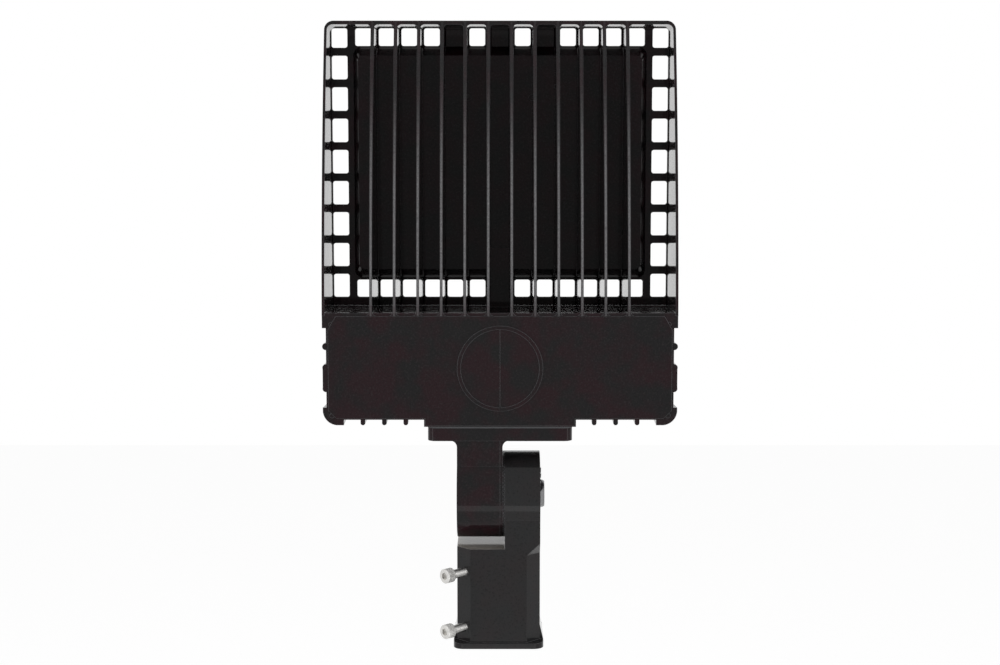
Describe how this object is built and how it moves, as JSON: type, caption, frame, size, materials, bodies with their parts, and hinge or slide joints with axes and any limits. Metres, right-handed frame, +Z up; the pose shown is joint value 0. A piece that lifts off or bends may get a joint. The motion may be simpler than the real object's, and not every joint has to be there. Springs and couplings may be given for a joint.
{
  "type": "shoebox area light",
  "caption": "Finned shoebox area light with a vented rim, a sealed driver box and a clear lens plate, on a tilting serrated slip fitter that clamps to a pole tenon.",
  "frame": {"origin": "centre of the tenon socket's mouth, on the tenon's axis", "axes": "+Z up along the tenon's axis, through the fitter into the head; +X to the right as seen from the finned back; +Y towards the lens side"},
  "size_m": [0.317, 0.108, 0.5642],
  "materials": {
    "black_casting": "black powder coat on die-cast aluminium, fine texture",
    "black_steel": "black coated steel",
    "stainless": "bright stainless steel",
    "silicone": "matt grey-black silicone rubber",
    "lead_jacket": "matt black jacket",
    "driver_case": "potted aluminium case, satin",
    "surge_case": "moulded plastic",
    "terminal_plastic": "moulded plastic",
    "led_board": "white solder mask on an aluminium board",
    "led_phosphor": "yellow phosphor",
    "clear_lens": "clear optical plastic"
  },
  "bodies": {
    "fitter": {"slip_fitter": "black_casting", "pivot_bolt": "black_steel", "pivot_washer": "black_steel"},
    "head": {"mounting_bracket": "black_casting", "pivot_nut": "stainless", "bracket_gasket": "silicone", "bracket_bolts": "stainless", "bracket_washers": "stainless", "housing": "black_casting", "driver_cover": "black_casting", "cover_gasket": "silicone", "cover_screws": "stainless", "led_driver": "driver_case", "surge_protector": "surge_case", "terminal_block": "terminal_plastic", "inner_screws": "stainless", "input_lead": "lead_jacket", "led_lead": "lead_jacket", "wire_grommet": "silicone", "lead_grommet": "silicone", "led_boards": "led_board", "board_screws": "stainless", "led_chips": "led_phosphor", "lens_gasket": "silicone", "lens_plate": "clear_lens", "lens_screws": "stainless"},
    "clamp_upper": {"clamp_screw_upper": "stainless"},
    "clamp_lower": {"clamp_screw_lower": "stainless"}
  },
  "joints": [
    {"name": "head_tilt", "type": "hinge", "parent": "fitter", "child": "head", "pos_m": [0, 0, 0.135], "axis": [-1, 0, 0], "range_deg": [-90, 90]},
    {"name": "clamp_upper_slide", "type": "slide", "parent": "fitter", "child": "clamp_upper", "axis": [0.7071, 0.7071, 0], "range_m": [-0.005, 0.012]},
    {"name": "clamp_lower_slide", "type": "slide", "parent": "fitter", "child": "clamp_lower", "axis": [0.7071, 0.7071, 0], "range_m": [-0.005, 0.012]}
  ]
}
